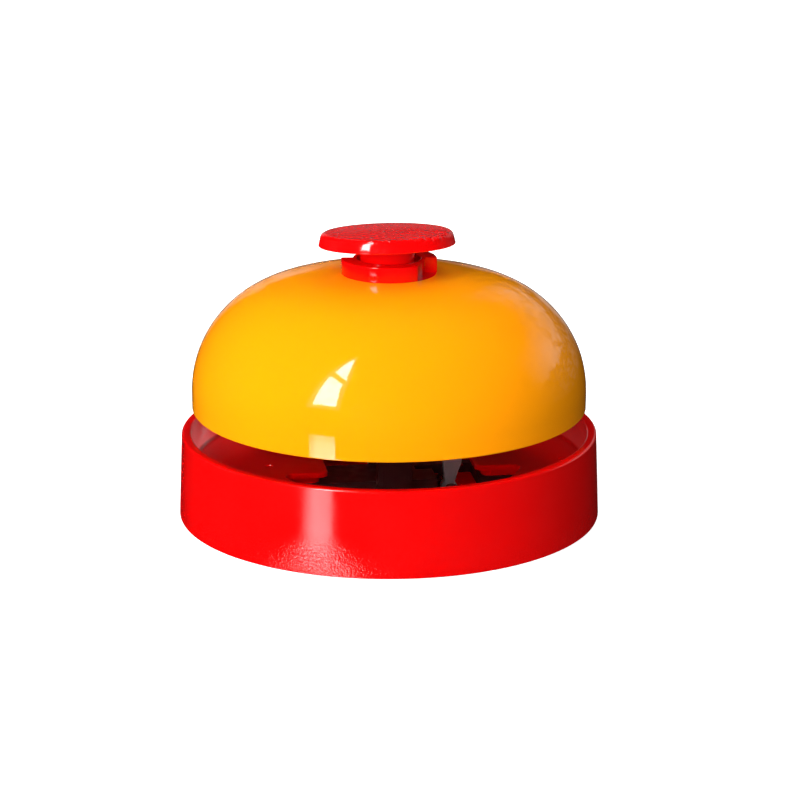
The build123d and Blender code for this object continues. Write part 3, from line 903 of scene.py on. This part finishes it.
def make_world():
    """Room: dim for the gloss but for what is pale behind, soft for the shading, white to the eye."""
    world = bpy.data.worlds.new("room")
    bpy.context.scene.world = world
    world.use_nodes = True
    world.cycles.sampling_method = "NONE"    # gloss and shading each keep their own room
    nodes, links = world.node_tree.nodes, world.node_tree.links
    nodes.clear()
    coordinates = nodes.new("ShaderNodeTexCoord")
    vector = coordinates.outputs["Generated"]
    split = nodes.new("ShaderNodeSeparateXYZ")
    links.new(vector, split.inputs["Vector"])

    # turned is the bearing from the user's side, to the right, and wall_foot the height where the table ends
    forwards = product(nodes, links, split.outputs["Y"], -1.0)
    turned = combine(nodes, links, "ARCTAN2", split.outputs["X"], forwards)
    height = split.outputs["Z"]
    streaks = room_noise(nodes, links, vector, 12.0, detail=7.0, rough=0.6)
    ragged = between(nodes, links, streaks, -0.05, 0.05, start=0.35, end=0.65)
    edge_height = combine(nodes, links, "ADD", height, ragged)
    wall_foot = sin(radians(9.5))
    over_edge = between(nodes, links, edge_height, 0.0, 1.0, start=wall_foot - 0.012, end=wall_foot + 0.02)
    under_edge = combine(nodes, links, "SUBTRACT", 1.0, over_edge)
    under_top = between(nodes, links, height, 1.0, 0.0, start=sin(radians(20)), end=sin(radians(34)))

    # pale wall behind on the right, with a few branches before its far part
    from_left = between(nodes, links, turned, 0.0, 1.0, start=radians(93), end=radians(126))
    to_right = between(nodes, links, turned, 1.0, 0.0, start=radians(167), end=radians(171))
    fading = between(nodes, links, turned, 1.2, 0.5, start=radians(118), end=radians(150))
    sideways = product(nodes, links, from_left, to_right)
    wall = product(nodes, links, sideways, product(nodes, links, over_edge, under_top))
    branches = room_noise(nodes, links, vector, 9.0, detail=3.0, distortion=1.2)
    twigs = between(nodes, links, off_half(nodes, links, branches), 0.15, 1.0, start=0.015, end=0.06)
    far_round = between(nodes, links, turned, 0.0, 1.0, start=radians(122), end=radians(134))
    far_twigs = product(nodes, links, combine(nodes, links, "SUBTRACT", 1.0, twigs), far_round)
    wall = product(nodes, links, wall, combine(nodes, links, "SUBTRACT", 1.0, far_twigs), fading)

    # low pale band behind
    round_back = combine(nodes, links, "ABSOLUTE", turned, 0.0)
    behind = between(nodes, links, round_back, 0.0, 1.0, start=radians(160), end=radians(166))
    not_middle = between(nodes, links, round_back, 1.0, 0.3, start=radians(173), end=radians(177))
    behind = product(nodes, links, behind, not_middle)
    hedge_top = between(nodes, links, turned, 0.16, 0.0, start=radians(-1), end=radians(1))
    over_hedge = combine(nodes, links, "SUBTRACT", edge_height, hedge_top)
    under_hedge = between(nodes, links, over_hedge, 1.0, 0.0, start=0.0, end=0.05)
    over_ground = between(nodes, links, height, 0.0, 1.0, start=-0.20, end=-0.10)
    back = product(nodes, links, behind, product(nodes, links, under_hedge, over_ground), twigs)

    # speckled far edge of the table, below the wall
    leaves = room_noise(nodes, links, vector, 38.0, detail=3.0)
    speckle = between(nodes, links, leaves, 0.0, 1.0, start=0.47, end=0.62)
    over_table = between(nodes, links, height, 0.0, 1.0, start=-0.14, end=-0.02)
    table = product(nodes, links, under_edge, over_table, sideways, speckle)

    mirrored = product(nodes, links, wall, GLOSS_WALL)
    mirrored = combine(nodes, links, "MAXIMUM", mirrored, product(nodes, links, back, GLOSS_BACK))
    mirrored = combine(nodes, links, "ADD", mirrored, product(nodes, links, table, GLOSS_TABLE))
    mirrored = combine(nodes, links, "ADD", mirrored, GLOSS_ROOM)
    shading = between(nodes, links, height, BOUNCE, CEILING, start=-0.1, end=0.3)
    path = nodes.new("ShaderNodeLightPath")

    def background(strength):
        made = nodes.new("ShaderNodeBackground")
        made.inputs["Color"].default_value = (1, 1, 1, 1)
        if isinstance(strength, float):
            made.inputs["Strength"].default_value = strength
        else:
            links.new(strength, made.inputs["Strength"])
        return made.outputs["Background"]

    def choose(ray, other, seen):
        mix = nodes.new("ShaderNodeMixShader")
        links.new(path.outputs[ray], mix.inputs["Fac"])
        links.new(other, mix.inputs[1])
        links.new(seen, mix.inputs[2])
        return mix.outputs["Shader"]

    room = choose("Is Glossy Ray", background(shading), background(mirrored))
    output = nodes.new("ShaderNodeOutputWorld")
    links.new(choose("Is Camera Ray", room, background(1.0)), output.inputs["Surface"])


def make_camera():
    """Camera in front of the bell and a little above it."""
    data = bpy.data.cameras.new("camera")
    data.sensor_width = 36.0
    data.lens = 115.41
    data.shift_x = 0.01375
    data.shift_y = -0.01825
    data.clip_start = 0.01
    data.clip_end = 50.0
    camera = bpy.data.objects.new("camera", data)
    camera.location = (0, -0.380, 0.12715)
    camera.rotation_euler = (radians(90 - 15.75), 0, 0)
    bpy.context.scene.collection.objects.link(camera)
    bpy.context.scene.camera = camera


make_camera()
make_dome()
make_base_cup()
make_collar()
make_button()
drawn_wire = metal("drawn_wire", (0.45, 0.45, 0.47), (0.58, 0.58, 0.60), 0.18, 0.32)
make_spring(drawn_wire)
dress_cad_nodes(drawn_wire)
make_floor()
window_pane("window_lower", [(-45.5, 16.7), (-31.0, 17.4), (-31.9, 39.0), (-43.4, 44.7)], WINDOW)
window_pane("window_upper", [(-42.3, 48.7), (-30.1, 42.9), (-36.9, 64.0), (-39.5, 62.3)], WINDOW)
window_pane("window_in_table", [(-46.4, 8.4), (-30.8, 9.4), (-30.8, 52), (-46.4, 52)], TABLE_GLOW,
            mirrored=True)
halo_corners = [(-49.0, 13.0), (-28.5, 14.0), (-28.0, 46.0), (-36.0, 67.0), (-41.5, 66.0), (-46.5, 46.0)]
window_pane("window_halo", halo_corners, HALO, HALO_DISTANCE)
# azimuth and elevation in degrees, distance and size in metres, power in watts
soft_light("window_fill", -38, 42, 1.6, 0.8, 5.0)
soft_light("overhead", 150, 55, 2.5, 2.2, 38.0)
soft_light("low_fill", -12, 13, 2.2, 0.9, 38.0)
soft_light("left_fill", -108, 8, 2.2, 1.2, 28.0)
soft_light("left_high", -95, 42, 2.2, 1.2, 4.0)
make_world()
bpy.context.scene.view_settings.view_transform = "Standard"
